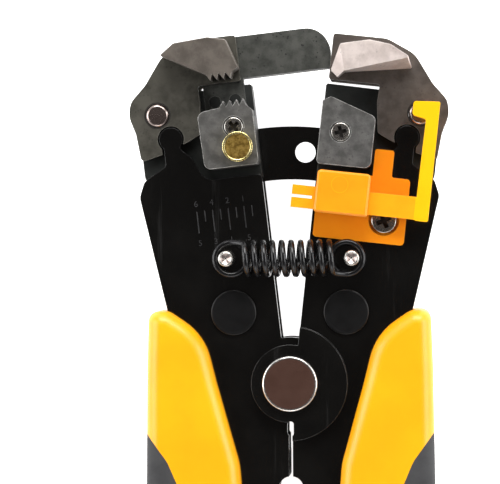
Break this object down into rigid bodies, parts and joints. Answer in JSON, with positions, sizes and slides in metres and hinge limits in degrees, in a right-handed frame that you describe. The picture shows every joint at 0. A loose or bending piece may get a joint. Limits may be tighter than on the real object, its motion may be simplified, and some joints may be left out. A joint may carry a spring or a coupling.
{
  "type": "wire stripper",
  "caption": "Self-adjusting hand wire stripper with gripping and blade jaws, sliding strip stop, return spring, cutter, crimp nests and moulded grips.",
  "frame": {"origin": "main pivot axis on the plane the tool rests on, lying on its back", "axes": "+Y towards the jaws, +X to the right seen from the front, +Z out of the front along the pivot axis"},
  "size_m": [0.0666, 0.208, 0.0275],
  "materials": {
    "black_plate": "gloss",
    "arm_steel": "satin",
    "jaw_steel": "satin",
    "nose_steel": "satin",
    "rivet_steel": "satin",
    "pivot_steel": "polished",
    "pin_black": "satin",
    "spring_black": "gloss",
    "brass": "satin",
    "stop_plastic": "gloss",
    "slider_plastic": "gloss",
    "grip_yellow": "satin",
    "grip_rubber": "matte"
  },
  "bodies": {
    "left_half": {"left_plate_front": "black_plate", "left_plate_rear": "black_plate", "pivot_rivet": "pivot_steel", "pivot_spacer": "rivet_steel", "left_tang_rivets": "rivet_steel", "left_crimp_die": "jaw_steel", "left_arm_pin": "pin_black", "left_spring_pin": "rivet_steel", "return_spring": "spring_black", "guide_bar": "black_plate", "guide_rivets": "rivet_steel", "left_grip": "grip_yellow", "left_grip_insert": "grip_rubber"},
    "right_half": {"right_plate_front": "black_plate", "right_plate_rear": "black_plate", "right_tang_rivets": "rivet_steel", "right_crimp_die": "jaw_steel", "right_arm_pin": "pin_black", "right_spring_pin": "rivet_steel", "stop_holder": "stop_plastic", "holder_screw": "rivet_steel", "right_grip": "grip_yellow", "right_grip_insert": "grip_rubber"},
    "left_head": {"left_arm": "arm_steel", "gripping_block": "jaw_steel", "gripping_block_screw": "rivet_steel", "left_jaw_rivet": "rivet_steel", "bridge_bar": "jaw_steel", "bridge_rivets": "rivet_steel"},
    "right_head": {"right_arm": "arm_steel", "blade_block": "jaw_steel", "blade_block_screw": "rivet_steel", "right_jaw_rivet": "rivet_steel"},
    "left_jaw": {"left_upper_jaw": "jaw_steel", "gripping_nose": "nose_steel"},
    "right_jaw": {"right_upper_jaw": "jaw_steel", "blade_nose": "nose_steel"},
    "strip_stop": {"stop_slider": "slider_plastic"},
    "adjuster": {"adjuster_knob": "brass"}
  },
  "joints": [
    {"name": "handle", "type": "hinge", "parent": "left_half", "child": "right_half", "pos_m": [0, 0, 0.011], "axis": [0, 0, 1], "range_deg": [0, 9], "deforming": ["return_spring"]},
    {"name": "clamp", "type": "hinge", "parent": "right_half", "child": "right_head", "pos_m": [0.01172, 0.01479, 0.011], "axis": [0, 0, 1], "range_deg": [0, 1.6]},
    {"name": "left_clamp", "type": "hinge", "parent": "left_half", "child": "left_head", "pos_m": [-0.01172, 0.01479, 0.011], "axis": [0, 0, 1], "range_deg": [-1.6, 0]},
    {"name": "right_bite", "type": "hinge", "parent": "right_head", "child": "right_jaw", "pos_m": [0.02741, 0.05594, 0.011], "axis": [0, 0, 1], "range_deg": [0, 12]},
    {"name": "left_bite", "type": "hinge", "parent": "left_head", "child": "left_jaw", "pos_m": [-0.02741, 0.05594, 0.011], "axis": [0, 0, 1], "range_deg": [-12, 0]},
    {"name": "stop_slide", "type": "slide", "parent": "right_half", "child": "strip_stop", "axis": [0.9938, -0.1115, 0], "range_m": [-0.0063, 0.0035]},
    {"name": "adjuster_turn", "type": "hinge", "parent": "left_head", "child": "adjuster", "pos_m": [-0.01013, 0.04908, 0.0245], "axis": [0, 0, 1], "continuous": true}
  ],
  "couplings": [
    {"joint": "left_clamp", "follows": "clamp", "ratio": -1},
    {"joint": "right_bite", "follows": "clamp", "ratio": 7.5},
    {"joint": "left_bite", "follows": "clamp", "ratio": -7.5}
  ]
}
